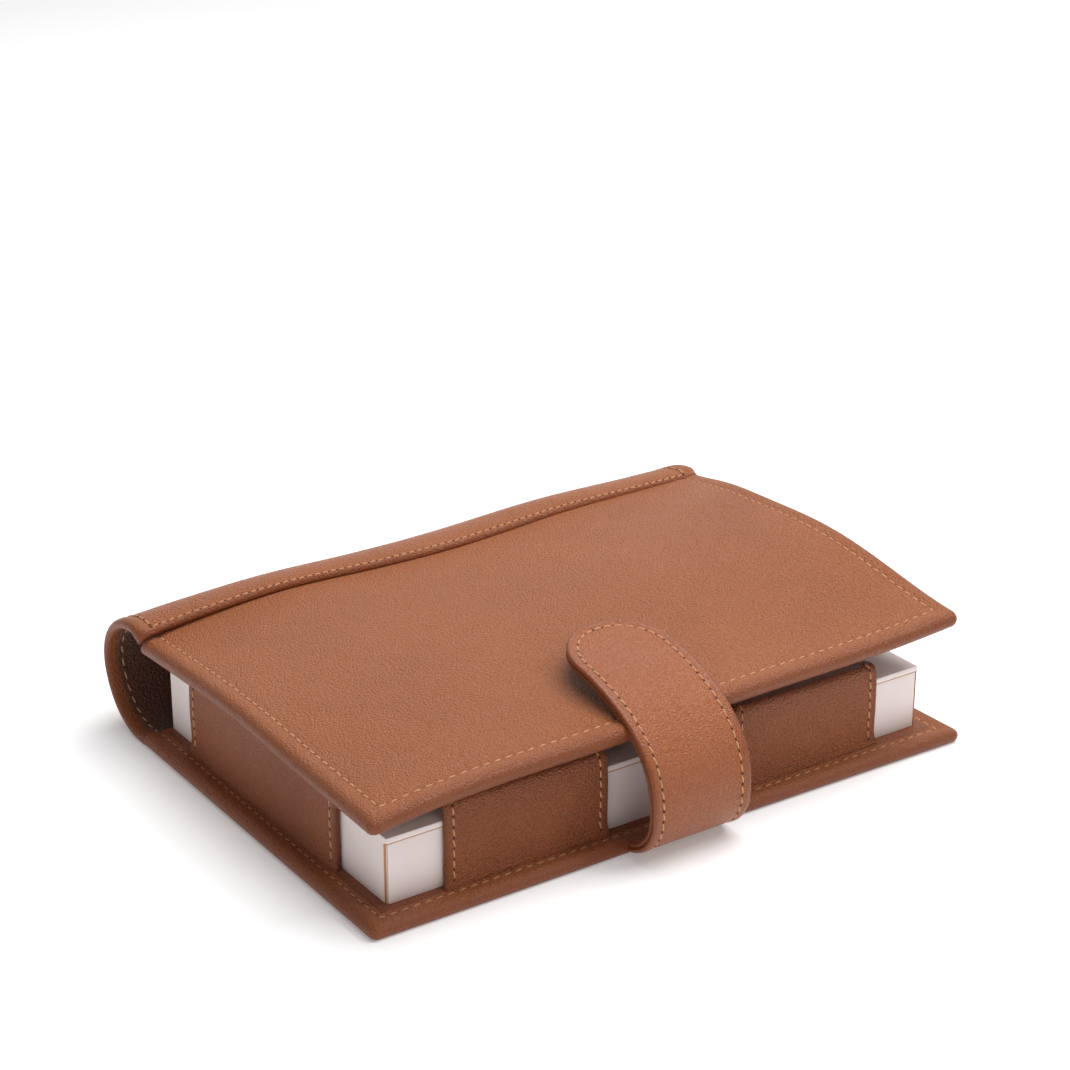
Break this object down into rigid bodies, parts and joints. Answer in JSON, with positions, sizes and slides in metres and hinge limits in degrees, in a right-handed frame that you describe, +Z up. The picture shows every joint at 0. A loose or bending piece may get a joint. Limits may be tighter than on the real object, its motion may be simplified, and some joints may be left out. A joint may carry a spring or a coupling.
{
  "type": "leather notebook cover",
  "caption": "Leather notebook cover with a rounded soft spine and a strap that snaps over the fore-edge; sewn leather bands hold a white card block inside.",
  "frame": {"origin": "centre of the back cover's underside, on the table", "axes": "+X from the spine to the fore-edge, +Y along the spine, +Z up through the covers"},
  "size_m": [0.1629, 0.188, 0.0478],
  "materials": {
    "leather": "satin",
    "lining": "matte",
    "band_leather": "satin",
    "greyboard": "matte",
    "card": "matte",
    "snap_metal": "polished"
  },
  "bodies": {
    "back_cover": {"back_outer_skin": "leather", "back_board": "greyboard", "back_lining": "lining", "spine_root_outer": "leather", "spine_root_lining": "lining", "card_body": "card", "card_lid": "card", "band_near": "band_leather", "band_far": "band_leather", "band_fore_near": "band_leather", "band_fore_far": "band_leather", "strap_anchor": "leather"},
    "spine_lower": {"spine_lower_outer": "leather", "spine_lower_lining": "lining"},
    "spine_upper": {"spine_upper_outer": "leather", "spine_upper_lining": "lining"},
    "front_cover": {"spine_seam_outer": "leather", "spine_seam_lining": "lining", "front_outer_skin": "leather", "front_board": "greyboard", "front_lining": "lining", "snap_stud": "snap_metal"},
    "strap": {"strap_outer": "leather", "strap_lining": "lining"},
    "tab": {"tab_outer": "leather", "tab_lining": "lining", "snap_socket": "snap_metal"}
  },
  "joints": [
    {"name": "spine_lower_fold", "type": "hinge", "parent": "back_cover", "child": "spine_lower", "pos_m": [-0.0771, 0, 0.00265], "axis": [0, -1, 0], "range_deg": [0, 58]},
    {"name": "spine_upper_fold", "type": "hinge", "parent": "spine_lower", "child": "spine_upper", "pos_m": [-0.087, 0, 0.0198], "axis": [0, -1, 0], "range_deg": [0, 58]},
    {"name": "front_cover_fold", "type": "hinge", "parent": "spine_upper", "child": "front_cover", "pos_m": [-0.0771, 0, 0.03695], "axis": [0, -1, 0], "range_deg": [0, 58]},
    {"name": "strap_fold", "type": "hinge", "parent": "back_cover", "child": "strap", "pos_m": [0.07233, 0, 0.00434], "axis": [0, 1, 0], "range_deg": [0, 90]},
    {"name": "tab_fold", "type": "hinge", "parent": "strap", "child": "tab", "pos_m": [0.06849, 0, 0.03665], "axis": [0, 1, 0], "range_deg": [0, 85]}
  ],
  "couplings": [
    {"joint": "spine_upper_fold", "follows": "spine_lower_fold", "ratio": 1},
    {"joint": "front_cover_fold", "follows": "spine_lower_fold", "ratio": 1}
  ]
}
